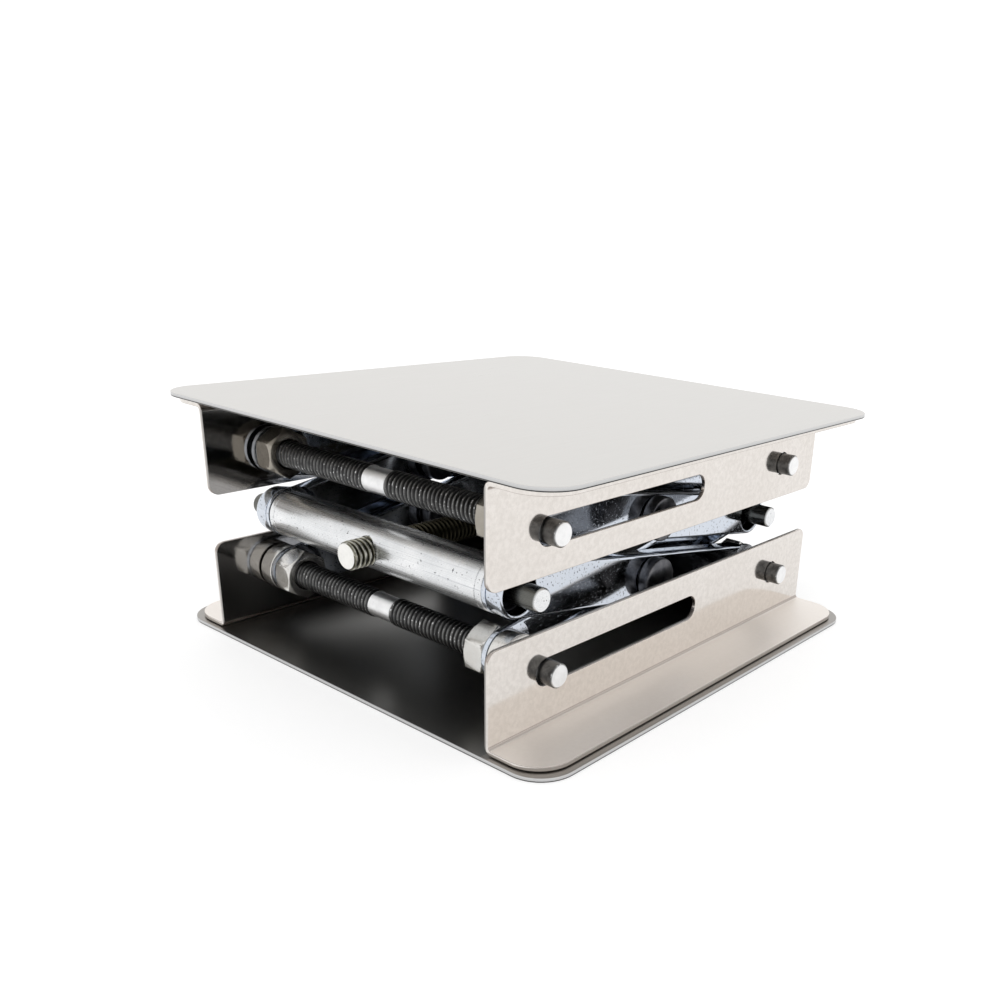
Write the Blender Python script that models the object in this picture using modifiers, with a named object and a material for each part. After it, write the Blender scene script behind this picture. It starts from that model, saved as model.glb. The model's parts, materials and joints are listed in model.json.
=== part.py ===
"""Two-stage scissor lab jack, modelled fully lowered.

Metres, +Z up. The origin is the centre of the base plate's underside. X runs along the axles and
Y along the drive screw: the screw's free end is at -Y and its knob at +Y.

Each side has four pressed arms. B runs from the lower rear axle to the front nut bar, and A from
the lower front axle to the rear bearing bar; they cross at the lower rivet. C runs from the front
nut bar to the upper rear axle, and D from the rear bearing bar to the upper front axle; they cross
at the upper rivet. The front axles slide in the slots of the brackets.
"""
import math

import bmesh
import bpy
from mathutils import Matrix

MM = 0.001

# Clearances
GAP = 0.3 * MM                      # between pieces that touch
WELD = 0.01 * MM                    # merge distance of loose caps and seams

# Plates and brackets
PLATE_WIDTH = 150 * MM
PLATE_CORNER = 10 * MM
SHEET = 1.2 * MM                    # thickness of plates, brackets and arms
HEIGHT = 69 * MM                    # over both plates, lowered
FLANGE_X = 56 * MM                  # outer face of the upright flanges
FLANGE_LENGTH = 147.2 * MM
FLANGE_HEIGHT = 27.5 * MM           # from the plate's outer face to the flange's free edge
FLANGE_CORNER = 3 * MM
FOOT_EDGE_X = 73 * MM               # outer edge of the foot that is welded to the plate
FOOT_CORNER = 10 * MM
BEND_RADIUS = 2.2 * MM              # outer radius of the bend between flange and foot

# Linkage
LINKAGE_X = -3.8 * MM               # the linkage has side play, and lies towards the left flanges
PIN_SPACING_Y = 107 * MM            # front to rear axles, lowered
AXLE_HEIGHT = 16.6 * MM             # axle centre from the plate's outer face
MIDDLE_HEIGHT = HEIGHT / 2
SLIDE_TRAVEL = 60 * MM              # of the front axles along their slots

# Arms: pressed bars, two layers on each side with their webs back to back
ARM_RADIUS = 6.9 * MM
OUTER_ARM_DEPTH = 5 * MM
INNER_ARM_DEPTH = 4 * MM
LAYER_X = 45.4 * MM                 # plane between the layers, from the linkage's middle
DISH_RADIUS = ARM_RADIUS - SHEET    # round hollows about the rivets and the outer arms' bar pins
FLAT_END_RADIUS = 8.4 * MM          # flat tongue about a pin, wide enough for a nut or a bar
OUTER_TONGUE_X = 3 * MM             # from an outer arm's web plane out to its tongue
RIVET_RADIUS = 2.9 * MM
RIVET_BODY_RADIUS = 5 * MM          # carries the head clear of the arm's outer face
RIVET_HEAD_RADIUS = 6.3 * MM
RIVET_HEAD_HEIGHT = 3.95 * MM
RIVET_CROWN = 0.5 * MM              # height of the slight dome
RIVET_CORNER = 0.6 * MM
RIVET_TAIL_RADIUS = 4.6 * MM
RIVET_TAIL_HEIGHT = 1.4 * MM

# Axles, bars and their hardware
PIN_RADIUS = 3.2 * MM
PIN_CHAMFER = 0.4 * MM
ROD_RADIUS = 3.9 * MM               # the M8 thread of an axle, as a plain cylinder
AXLE_HALF_LENGTH = 64 * MM
BAND_HALF_LENGTH = 4.5 * MM         # unthreaded middle of an axle
BAND_DEPTH = 0.35 * MM
BAR_RADIUS = 6.9 * MM
BAR_PIN_HALF_LENGTH = 57.8 * MM
NUT_ACROSS_FLATS = 13 * MM
NUT_LENGTH = 6.8 * MM
SPACER_RADIUS = 6.9 * MM
SPACER_LENGTH = 4.9 * MM

# Drive screw and knob
SCREW_RADIUS = 3.95 * MM
SCREW_FRONT_Y = -66.5 * MM
JOURNAL_RADIUS = 3 * MM
JOURNAL_END_Y = 104 * MM
COLLAR_RADIUS = 6.5 * MM
COLLAR_LENGTH = 3.5 * MM
KNOB_RADIUS = 20 * MM
KNOB_LOBES = 8
KNOB_LOBE_DEPTH = 1.4 * MM
KNOB_LENGTH = 16 * MM
KNOB_FRONT_Y = 80 * MM
BUSH_RADIUS = 7 * MM
BUSH_FLANGE_RADIUS = 9 * MM
BUSH_FLANGE_LENGTH = 2 * MM
KNOB_NUT_ACROSS_FLATS = 10 * MM
KNOB_NUT_LENGTH = 5 * MM

# Facets of round shapes
ROUND_STEPS = 24
SMALL_STEPS = 16
ARC_STEPS = 8
CORNER_STEPS = 4
DOME_STEPS = 4
STEPS_PER_LOBE = 6
CUT_OVERRUN = 1 * MM
CREASE_ANGLE = math.radians(30)
FLAT_ANGLE = math.radians(0.5)

# Worked out from the above
HALF_SPACING = PIN_SPACING_Y / 2
STAGE_RISE = MIDDLE_HEIGHT - AXLE_HEIGHT
ARM_LENGTH = math.hypot(PIN_SPACING_Y, STAGE_RISE)
REST_ANGLE = math.atan2(STAGE_RISE, PIN_SPACING_Y)
OUTER_WEB_X = LAYER_X + GAP / 2
INNER_WEB_X = LAYER_X - GAP / 2
SHOULDER_X = INNER_WEB_X - SHEET - GAP   # where axles and bars step down to their pins
OUTER_NUT_SEAT_X = OUTER_WEB_X + OUTER_TONGUE_X - GAP
RIVET_SEAT_X = OUTER_WEB_X + SHEET + GAP
UPPER_AXLE_Z = HEIGHT - AXLE_HEIGHT
LOWER_RIVET_Z = (AXLE_HEIGHT + MIDDLE_HEIGHT) / 2
UPPER_RIVET_Z = (UPPER_AXLE_Z + MIDDLE_HEIGHT) / 2
HOLE_RADIUS = PIN_RADIUS + GAP

# Axes to which a shape made along local Z is turned
ALONG_X = Matrix(((0, 0, 1, 0), (1, 0, 0, 0), (0, 1, 0, 0), (0, 0, 0, 1)))
ALONG_Y = Matrix(((0, 1, 0, 0), (0, 0, 1, 0), (1, 0, 0, 0), (0, 0, 0, 1)))
FLIP = Matrix.Rotation(math.pi, 4, "Y")

for old in list(bpy.data.objects):
    bpy.data.objects.remove(old)


# Scene helpers

def new_collection(name):
    made = bpy.data.collections.new(name)
    bpy.context.scene.collection.children.link(made)
    return made


PARTS = new_collection("lab_jack")
CUTTERS = new_collection("cutters")


def new_material(name, colour, metallic, roughness):
    made = bpy.data.materials.new(name)
    made.use_nodes = True
    shader = made.node_tree.nodes["Principled BSDF"]
    shader.inputs["Base Color"].default_value = (*colour, 1)
    shader.inputs["Metallic"].default_value = metallic
    shader.inputs["Roughness"].default_value = roughness
    return made


def new_pivot(name, y, z, x=0):
    """Empty on a joint's axis, for the pieces that move with that joint."""
    pivot = bpy.data.objects.new(name, None)
    pivot.location = (x, y, z)
    pivot.empty_display_size = 0.01
    PARTS.objects.link(pivot)
    return pivot


def add_part(name, mesh, finish, matrix, pivot=None):
    """Named piece placed by matrix, with its own copy of the finish."""
    colour, metallic, roughness = finish
    part = bpy.data.objects.new(name, mesh)
    PARTS.objects.link(part)
    mesh.materials.clear()
    mesh.materials.append(None)
    part.material_slots[0].link = "OBJECT"
    part.material_slots[0].material = new_material(name, colour, metallic, roughness)
    if pivot:
        part.parent = pivot
        part.matrix_parent_inverse = Matrix.Translation(-pivot.location)
    part.matrix_basis = matrix
    return part


def evaluated_mesh(source):
    """Mesh of an object with its modifiers applied; the object itself is removed."""
    depsgraph = bpy.context.evaluated_depsgraph_get()
    mesh = bpy.data.meshes.new_from_object(source.evaluated_get(depsgraph))
    bpy.data.objects.remove(source)
    return mesh


def cleaned(mesh):
    """Weld loose seams, and join the triangles of flat faces."""
    work = bmesh.new()
    work.from_mesh(mesh)
    bmesh.ops.remove_doubles(work, verts=work.verts, dist=WELD)
    bmesh.ops.dissolve_limit(work, angle_limit=FLAT_ANGLE, verts=work.verts, edges=work.edges)
    bmesh.ops.recalc_face_normals(work, faces=work.faces)
    work.to_mesh(mesh)
    work.free()
    return mesh


def finished(mesh):
    mesh.shade_smooth()
    mesh.set_sharp_from_angle(angle=CREASE_ANGLE)
    return mesh


# Shape makers. Each returns a mesh.

def extruded(name, outline, depth):
    """Plate of the given outline in local XY, from z = 0 to z = depth."""
    curve = bpy.data.curves.new(name, "CURVE")
    curve.dimensions = "2D"
    curve.fill_mode = "BOTH"
    curve.extrude = depth / 2
    spline = curve.splines.new("POLY")
    spline.points.add(len(outline) - 1)
    for point, (x, y) in zip(spline.points, outline):
        point.co = (x, y, 0, 1)
    spline.use_cyclic_u = True
    source = bpy.data.objects.new(name, curve)
    PARTS.objects.link(source)
    mesh = cleaned(evaluated_mesh(source))
    mesh.transform(Matrix.Translation((0, 0, depth / 2)))
    return mesh


def turned(name, profile, closed=False, steps=ROUND_STEPS):
    """Shape turned about local Z. The profile of (radius, z) points runs down its outer side."""
    mesh = bpy.data.meshes.new(name)
    edges = [(i, i + 1) for i in range(len(profile) - 1)]
    if closed:
        edges.append((len(profile) - 1, 0))
    mesh.from_pydata([(radius, 0, z) for radius, z in profile], edges, [])
    source = bpy.data.objects.new(name, mesh)
    PARTS.objects.link(source)
    screw = source.modifiers.new("turn", "SCREW")
    screw.steps = steps
    screw.render_steps = steps
    screw.use_merge_vertices = True
    screw.merge_threshold = WELD
    return finished(evaluated_mesh(source))


def tube(name, outer, inner, length):
    """Ring about local Z, from z = 0 to z = length."""
    profile = [(outer, length), (outer, 0), (inner, 0), (inner, length)]
    return turned(name, profile, closed=True, steps=SMALL_STEPS)


def cylinder(name, radius, start, end):
    profile = [(0, end), (radius, end), (radius, start), (0, start)]
    return turned(name, profile, steps=SMALL_STEPS)


def both_ends(half):
    """Closed profile of a turned shape that is the same at both ends, from its +Z half."""
    mirrored = [(radius, -z) for radius, z in reversed(half)]
    return [(0, half[0][1])] + half + mirrored + [(0, -half[0][1])]


def new_cutter(name, mesh, matrix):
    cutter = bpy.data.objects.new(name, mesh)
    CUTTERS.objects.link(cutter)
    cutter.matrix_basis = matrix
    cutter.hide_render = True
    cutter.display_type = "WIRE"
    return cutter


def carved(name, mesh, cutters):
    """Mesh with the cutters taken out of it."""
    source = bpy.data.objects.new(name, mesh)
    PARTS.objects.link(source)
    for cutter in cutters:
        boolean = source.modifiers.new(cutter.name, "BOOLEAN")
        boolean.operation = "DIFFERENCE"
        boolean.solver = "EXACT"
        boolean.object = cutter
    return finished(cleaned(evaluated_mesh(source)))


def arc(centre_x, centre_y, radius, start, end, steps):
    """Points on an arc from start to end, in degrees, both ends included."""
    angles = [math.radians(start + (end - start) * i / steps) for i in range(steps + 1)]
    return [(centre_x + radius * math.cos(a), centre_y + radius * math.sin(a)) for a in angles]


def stadium(half_length, radius, steps, centre_x=0):
    """Outline of a slot or an arm along local X."""
    right = arc(centre_x + half_length, 0, radius, -90, 90, steps)
    left = arc(centre_x - half_length, 0, radius, 90, 270, steps)
    return right + left


def rounded_rectangle(half_x, half_y, radius):
    points = []
    for sign_x, sign_y, start in ((1, 1, 0), (-1, 1, 90), (-1, -1, 180), (1, -1, 270)):
        centre_x = sign_x * (half_x - radius)
        centre_y = sign_y * (half_y - radius)
        points += arc(centre_x, centre_y, radius, start, start + 90, CORNER_STEPS)
    return points


def round_corners(mesh, chosen, radius):
    """Round the short edges through the sheet whose midpoint satisfies chosen(x, y, z)."""
    work = bmesh.new()
    work.from_mesh(mesh)
    edges = []
    for edge in work.edges:
        if edge.calc_length() < 2 * SHEET and chosen(*((edge.verts[0].co + edge.verts[1].co) / 2)):
            edges.append(edge)
    bmesh.ops.bevel(work, geom=edges, offset=radius, segments=CORNER_STEPS, profile=0.5,
                    affect="EDGES")
    work.to_mesh(mesh)
    work.free()
    return mesh


# Sub-parts

def plate_mesh():
    half = PLATE_WIDTH / 2
    return finished(extruded("plate", rounded_rectangle(half, half, PLATE_CORNER), SHEET))


def bracket_mesh():
    """Right-hand base bracket: upright flange with a slot and a hole, and an outward foot."""
    foot_low = SHEET + GAP
    foot_high = foot_low + SHEET
    inner_x = FLANGE_X - SHEET
    bend_x = inner_x + BEND_RADIUS
    bend_z = foot_low + BEND_RADIUS
    profile = [(FOOT_EDGE_X, foot_low), (FOOT_EDGE_X, foot_high)]
    profile += arc(bend_x, bend_z, BEND_RADIUS - SHEET, 270, 180, CORNER_STEPS)
    profile += [(FLANGE_X, FLANGE_HEIGHT), (inner_x, FLANGE_HEIGHT)]
    profile += arc(bend_x, bend_z, BEND_RADIUS, 180, 270, CORNER_STEPS)
    mesh = extruded("bracket", profile, FLANGE_LENGTH)
    upright = Matrix.Rotation(math.pi / 2, 4, "X")
    mesh.transform(Matrix.Translation((0, FLANGE_LENGTH / 2, 0)) @ upright)
    end_y = FLANGE_LENGTH / 2 - WELD
    round_corners(mesh, lambda x, y, z: abs(y) > end_y and z > FLANGE_HEIGHT - WELD, FLANGE_CORNER)
    round_corners(mesh, lambda x, y, z: abs(y) > end_y and x > FOOT_EDGE_X - WELD, FOOT_CORNER)

    slot_middle = -HALF_SPACING + SLIDE_TRAVEL / 2
    slot_outline = stadium(SLIDE_TRAVEL / 2 + GAP, HOLE_RADIUS + GAP / 2, ARC_STEPS, slot_middle)
    through = SHEET + 2 * CUT_OVERRUN
    start = Matrix.Translation((inner_x - CUT_OVERRUN, 0, AXLE_HEIGHT))
    slot = new_cutter("slot_cutter", extruded("slot", slot_outline, through), start @ ALONG_X)
    hole = new_cutter("axle_hole_cutter", cylinder("axle_hole", HOLE_RADIUS, 0, through),
                      Matrix.Translation((0, HALF_SPACING, 0)) @ start @ ALONG_X)
    return carved("bracket", mesh, [slot, hole])


def pocket_outline(half, end_radius):
    """Hollow under a raised panel, between the middle dish and the end at local x = half."""
    middle_radius = DISH_RADIUS + SHEET
    middle_angle = math.degrees(math.asin(DISH_RADIUS / middle_radius))
    end_angle = math.degrees(math.asin(DISH_RADIUS / end_radius))
    outline = arc(0, 0, middle_radius, -middle_angle, middle_angle, ARC_STEPS)
    return outline + arc(half, 0, end_radius, 180 - end_angle, 180 + end_angle, ARC_STEPS)


def arm_mesh(depth, hollows, end_radii):
    """Pressed bar along Y, from its web plane x = 0 to its raised panels at x = depth.

    The panels lie between the middle and the ends, and are hollow from behind. hollows are the
    rounds pressed in about the three holes, as (y, radius, low x, high x); end_radii are those of
    the -Y and the +Y end.
    """
    half = ARM_LENGTH / 2
    block = extruded("arm", stadium(half, ARM_RADIUS, ARC_STEPS), depth)
    cutters = []
    for along, radius in ((-half, HOLE_RADIUS), (0, RIVET_RADIUS + GAP), (half, HOLE_RADIUS)):
        drill = cylinder("arm_hole", radius, -2 * CUT_OVERRUN, depth + 2 * CUT_OVERRUN)
        cutters.append(new_cutter("arm_hole_cutter", drill, Matrix.Translation((along, 0, 0))))
    for along, radius, low, high in hollows:
        low = low if low > 0 else -CUT_OVERRUN
        high = high if high < depth else depth + CUT_OVERRUN
        profile = [(0, high), (radius, high), (radius, low), (0, low)]
        hollow = turned("arm_hollow", profile)
        cutters.append(new_cutter("arm_hollow_cutter", hollow, Matrix.Translation((along, 0, 0))))
    for turn, end_radius in zip((math.pi, 0), end_radii):
        pocket = extruded("arm_pocket", pocket_outline(half, end_radius + SHEET), depth)
        behind = Matrix.Rotation(turn, 4, "Z") @ Matrix.Translation((0, 0, -SHEET))
        cutters.append(new_cutter("arm_pocket_cutter", pocket, behind))
    mesh = carved("arm", block, cutters)
    mesh.transform(ALONG_X)
    return mesh


def inner_arm_mesh():
    """Inner arm: both ends are flat tongues in the web plane."""
    half = ARM_LENGTH / 2
    depth = INNER_ARM_DEPTH
    hollows = ((-half, FLAT_END_RADIUS, SHEET, depth), (0, DISH_RADIUS, SHEET, depth),
               (half, FLAT_END_RADIUS, SHEET, depth))
    return arm_mesh(depth, hollows, (FLAT_END_RADIUS, FLAT_END_RADIUS))


def outer_arm_mesh():
    """Outer arm: a dish at its bar end, -Y, and at its axle end, +Y, a tongue near the outer face."""
    half = ARM_LENGTH / 2
    depth = OUTER_ARM_DEPTH
    hollows = ((-half, DISH_RADIUS, SHEET, depth), (0, DISH_RADIUS, SHEET, depth),
               (half, FLAT_END_RADIUS, 0, OUTER_TONGUE_X),
               (half, FLAT_END_RADIUS, OUTER_TONGUE_X + SHEET, depth))
    return arm_mesh(depth, hollows, (DISH_RADIUS, FLAT_END_RADIUS))


def rivet_mesh():
    """Pivot stud along local Z through both webs: head and body at +Z, flat tail at -Z."""
    head_low = OUTER_WEB_X + OUTER_ARM_DEPTH + GAP
    head_high = head_low + RIVET_HEAD_HEIGHT
    rim_radius = RIVET_HEAD_RADIUS - RIVET_CORNER
    head = []
    for step in range(DOME_STEPS + 1):
        share = step / DOME_STEPS
        head.append((rim_radius * share, head_high - RIVET_CROWN * share * share))
    side_high = head_high - RIVET_CROWN - RIVET_CORNER
    head += [(RIVET_HEAD_RADIUS, side_high), (RIVET_HEAD_RADIUS, head_low)]
    body = [(RIVET_BODY_RADIUS, head_low), (RIVET_BODY_RADIUS, RIVET_SEAT_X)]
    shank = [(RIVET_RADIUS, RIVET_SEAT_X), (RIVET_RADIUS, SHOULDER_X)]
    tail_low = SHOULDER_X - RIVET_TAIL_HEIGHT
    tail = [(RIVET_TAIL_RADIUS, SHOULDER_X), (RIVET_TAIL_RADIUS, tail_low), (0, tail_low)]
    return turned("rivet", head + body + shank + tail)


def axle_mesh(shoulder_x):
    """Threaded rod with a plain middle band; beyond shoulder_x both ends are turned down to pins."""
    return turned("axle", both_ends([
        (PIN_RADIUS - PIN_CHAMFER, AXLE_HALF_LENGTH),
        (PIN_RADIUS, AXLE_HALF_LENGTH - PIN_CHAMFER),
        (PIN_RADIUS, shoulder_x), (ROD_RADIUS, shoulder_x),
        (ROD_RADIUS, BAND_HALF_LENGTH), (ROD_RADIUS - BAND_DEPTH, BAND_HALF_LENGTH)]))


def bar_mesh(name, bore_radius):
    """Round cross bar with pin ends along local Z, and a bore across it for the screw."""
    profile = both_ends([
        (PIN_RADIUS - PIN_CHAMFER, BAR_PIN_HALF_LENGTH),
        (PIN_RADIUS, BAR_PIN_HALF_LENGTH - PIN_CHAMFER),
        (PIN_RADIUS, SHOULDER_X), (BAR_RADIUS, SHOULDER_X)])
    reach = BAR_RADIUS + CUT_OVERRUN
    drill = cylinder(name + "_bore", bore_radius, -reach, reach)
    cutter = new_cutter(name + "_bore_cutter", drill, Matrix.Rotation(math.pi / 2, 4, "Y"))
    return carved(name, turned(name, profile), [cutter])


def nut_mesh(name, across_flats, bore_radius, length):
    """Hex nut about local Z, from z = 0 to z = length, with a corner pointing along local Y."""
    work = bmesh.new()
    corner_radius = across_flats / 2 / math.cos(math.radians(30))
    bmesh.ops.create_cone(work, cap_ends=True, segments=6, radius1=corner_radius,
                          radius2=corner_radius, depth=length,
                          matrix=Matrix.Translation((0, 0, length / 2)))
    mesh = bpy.data.meshes.new(name)
    work.to_mesh(mesh)
    work.free()
    drill = cylinder(name + "_bore", bore_radius, -CUT_OVERRUN, length + CUT_OVERRUN)
    return carved(name, mesh, [new_cutter(name + "_cutter", drill, Matrix.Identity(4))])


def screw_mesh():
    """Drive screw along local Z: threaded length, then a journal for the bearing and the knob."""
    thread_end = HALF_SPACING - BAR_RADIUS - GAP - COLLAR_LENGTH - GAP
    return turned("drive_screw", [
        (0, JOURNAL_END_Y), (JOURNAL_RADIUS - PIN_CHAMFER, JOURNAL_END_Y),
        (JOURNAL_RADIUS, JOURNAL_END_Y - PIN_CHAMFER), (JOURNAL_RADIUS, thread_end),
        (SCREW_RADIUS, thread_end), (SCREW_RADIUS, SCREW_FRONT_Y + PIN_CHAMFER),
        (SCREW_RADIUS - PIN_CHAMFER, SCREW_FRONT_Y), (0, SCREW_FRONT_Y)])


def knob_mesh():
    """Lobed grip about local Z, from z = 0 to z = KNOB_LENGTH, bored for its bush."""
    steps = KNOB_LOBES * STEPS_PER_LOBE
    outline = []
    for i in range(steps):
        angle = 2 * math.pi * i / steps
        wave = (1 - math.cos(KNOB_LOBES * angle)) / 2
        radius = KNOB_RADIUS - KNOB_LOBE_DEPTH * wave
        outline.append((radius * math.cos(angle), radius * math.sin(angle)))
    drill = cylinder("knob_bore", BUSH_RADIUS + GAP, -CUT_OVERRUN, KNOB_LENGTH + CUT_OVERRUN)
    cutter = new_cutter("knob_bore_cutter", drill, Matrix.Identity(4))
    return carved("knob", extruded("knob", outline, KNOB_LENGTH), [cutter])


def bush_mesh():
    """Flanged steel bush of the knob, from z = 0 (the flange's face) to its far end."""
    bore = JOURNAL_RADIUS + GAP
    length = BUSH_FLANGE_LENGTH + GAP + KNOB_LENGTH
    return turned("knob_bush", [
        (BUSH_RADIUS, length), (BUSH_RADIUS, BUSH_FLANGE_LENGTH),
        (BUSH_FLANGE_RADIUS, BUSH_FLANGE_LENGTH), (BUSH_FLANGE_RADIUS, 0), (bore, 0),
        (bore, length)], closed=True)


# Finishes: colour, metallic, roughness
PLATE_FINISH = ((0.80, 0.78, 0.75), 1, 0.35)
BRACKET_FINISH = ((0.72, 0.69, 0.66), 1, 0.16)
ARM_FINISH = ((0.70, 0.72, 0.76), 1, 0.18)
BAR_FINISH = ((0.78, 0.79, 0.80), 1, 0.25)
ROD_FINISH = ((0.42, 0.42, 0.43), 1, 0.32)
NUT_FINISH = ((0.72, 0.73, 0.73), 1, 0.28)
KNOB_FINISH = ((0.02, 0.02, 0.02), 0, 0.45)

# Assembly

SIDES = (("right", 1), ("left", -1))
FACING = {1: ALONG_X, -1: FLIP @ ALONG_X}


def place(x, y, z):
    return Matrix.Translation((x, y, z))


def add_plates_and_brackets(top_pivot):
    """Base and top plate, and the four brackets, which are mirror images of one another."""
    plate = plate_mesh()
    add_part("base_plate", plate, PLATE_FINISH, Matrix.Identity(4))
    add_part("top_plate", plate.copy(), PLATE_FINISH, place(0, 0, HEIGHT - SHEET), top_pivot)
    bracket = bracket_mesh()
    upside_down = place(0, 0, HEIGHT) @ Matrix.Scale(-1, 4, (0, 0, 1))
    levels = (("base", Matrix.Identity(4), None), ("top", upside_down, top_pivot))
    for side, sign in SIDES:
        for level, turn, pivot in levels:
            mirror = turn @ Matrix.Scale(sign, 4, (1, 0, 0))
            mesh = bracket.copy()
            mesh.transform(mirror)
            if mirror.determinant() < 0:
                mesh.flip_normals()
            add_part(f"{level}_bracket_{side}", mesh, BRACKET_FINISH, Matrix.Identity(4), pivot)


def add_arms(pivots):
    """The eight arms and four rivets. Outer arms are raised outwards, inner arms inwards."""
    outer = outer_arm_mesh()
    inner = inner_arm_mesh()
    arms = (("a", inner, INNER_WEB_X, -1, LOWER_RIVET_Z, REST_ANGLE),
            ("b", outer, OUTER_WEB_X, 1, LOWER_RIVET_Z, -REST_ANGLE),
            ("c", inner, INNER_WEB_X, -1, UPPER_RIVET_Z, REST_ANGLE),
            ("d", outer, OUTER_WEB_X, 1, UPPER_RIVET_Z, math.pi - REST_ANGLE))
    for letter, mesh, web_x, raised, z, angle in arms:
        for side, sign in SIDES:
            matrix = place(LINKAGE_X + sign * web_x, 0, z) @ Matrix.Rotation(angle, 4, "X")
            if sign * raised < 0:
                matrix = matrix @ FLIP
            add_part(f"arm_{letter}_{side}", mesh, ARM_FINISH, matrix, pivots["arms_" + letter])
    rivet = rivet_mesh()
    levels = (("lower", LOWER_RIVET_Z, pivots["arms_b"]), ("upper", UPPER_RIVET_Z, pivots["arms_d"]))
    # Every head faces +X, so on the left the tails lie in the outer arms
    places = (("right", 0), ("left", -(RIVET_SEAT_X + SHOULDER_X)))
    for level, z, pivot in levels:
        for side, x in places:
            matrix = place(LINKAGE_X + x, 0, z) @ ALONG_X
            add_part(f"{level}_rivet_{side}", rivet, NUT_FINISH, matrix, pivot)


def add_axles(pivots):
    """The four axles. Nuts close the arms from inside; spacers keep the inner arms off the flanges."""
    nut = nut_mesh("axle_nut", NUT_ACROSS_FLATS, ROD_RADIUS + GAP, NUT_LENGTH)
    spacer = tube("axle_spacer", SPACER_RADIUS, HOLE_RADIUS, SPACER_LENGTH)
    outer = OUTER_NUT_SEAT_X
    axles = (("lower_front", -HALF_SPACING, AXLE_HEIGHT, pivots["arms_a"], SHOULDER_X, True),
             ("lower_rear", HALF_SPACING, AXLE_HEIGHT, None, outer, False),
             ("upper_front", -HALF_SPACING, UPPER_AXLE_Z, pivots["arms_d"], outer, False),
             ("upper_rear", HALF_SPACING, UPPER_AXLE_Z, pivots["top"], SHOULDER_X, True))
    for label, y, z, pivot, seat_x, has_spacer in axles:
        middle = place(LINKAGE_X, y, z)
        axle = axle_mesh(seat_x)
        add_part(label + "_axle", axle, ROD_FINISH, middle @ ALONG_X, pivot)
        for side, sign in SIDES:
            facing = middle @ FACING[sign]
            nut_place = facing @ place(0, 0, seat_x - NUT_LENGTH)
            add_part(f"{label}_nut_{side}", nut, NUT_FINISH, nut_place, pivot)
            if has_spacer:
                spacer_place = facing @ place(0, 0, OUTER_WEB_X)
                add_part(f"{label}_spacer_{side}", spacer, NUT_FINISH, spacer_place, pivot)


def add_drive(pivots):
    """Front nut bar, rear bearing bar, drive screw, collars and knob."""
    front = place(LINKAGE_X, -HALF_SPACING, MIDDLE_HEIGHT)
    rear = place(LINKAGE_X, HALF_SPACING, MIDDLE_HEIGHT)
    add_part("front_nut_bar", bar_mesh("front_nut_bar", SCREW_RADIUS + GAP), BAR_FINISH,
             front @ ALONG_X, pivots["front_bar"])
    add_part("rear_bearing_bar", bar_mesh("rear_bearing_bar", JOURNAL_RADIUS + GAP), BAR_FINISH,
             rear @ ALONG_X, pivots["rear_bar"])
    spin = pivots["screw"]
    axis = place(LINKAGE_X, 0, MIDDLE_HEIGHT) @ ALONG_Y
    add_part("drive_screw", screw_mesh(), ROD_FINISH, axis, spin)
    collar = tube("collar", COLLAR_RADIUS, JOURNAL_RADIUS + GAP, COLLAR_LENGTH)
    inner_y = HALF_SPACING - BAR_RADIUS - GAP - COLLAR_LENGTH
    outer_y = HALF_SPACING + BAR_RADIUS + GAP
    add_part("thrust_collar_inner", collar, NUT_FINISH, axis @ place(0, 0, inner_y), spin)
    add_part("thrust_collar_outer", collar, NUT_FINISH, axis @ place(0, 0, outer_y), spin)
    add_part("knob", knob_mesh(), KNOB_FINISH, axis @ place(0, 0, KNOB_FRONT_Y), spin)
    bush_y = KNOB_FRONT_Y - GAP - BUSH_FLANGE_LENGTH
    add_part("knob_bush", bush_mesh(), NUT_FINISH, axis @ place(0, 0, bush_y), spin)
    nut_y = KNOB_FRONT_Y + KNOB_LENGTH + GAP
    bore = JOURNAL_RADIUS + GAP
    knob_nut = nut_mesh("knob_nut", KNOB_NUT_ACROSS_FLATS, bore, KNOB_NUT_LENGTH)
    add_part("knob_nut", knob_nut, NUT_FINISH, axis @ place(0, 0, nut_y), spin)


def main():
    pivots = {
        "arms_b": new_pivot("pivot_arms_b", HALF_SPACING, AXLE_HEIGHT),
        "arms_a": new_pivot("pivot_arms_a", 0, LOWER_RIVET_Z),
        "arms_c": new_pivot("pivot_arms_c", -HALF_SPACING, MIDDLE_HEIGHT),
        "arms_d": new_pivot("pivot_arms_d", 0, UPPER_RIVET_Z),
        "top": new_pivot("pivot_top", HALF_SPACING, UPPER_AXLE_Z),
        "front_bar": new_pivot("pivot_front_bar", -HALF_SPACING, MIDDLE_HEIGHT),
        "rear_bar": new_pivot("pivot_rear_bar", HALF_SPACING, MIDDLE_HEIGHT),
        "screw": new_pivot("pivot_screw", 0, MIDDLE_HEIGHT, LINKAGE_X),
    }
    add_plates_and_brackets(pivots["top"])
    add_arms(pivots)
    add_axles(pivots)
    add_drive(pivots)


main()
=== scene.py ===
"""Looks of the scissor lab jack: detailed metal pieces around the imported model, floor, light, camera.

Every mesh is made in the row frame, in metres, and rides on its CAD body. Places and outer sizes
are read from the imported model; what it doesn't hold, such as threads, press radii and edge breaks,
is named here.
"""
import json
import math

import bmesh
import bpy
from mathutils import Matrix, Vector


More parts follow.
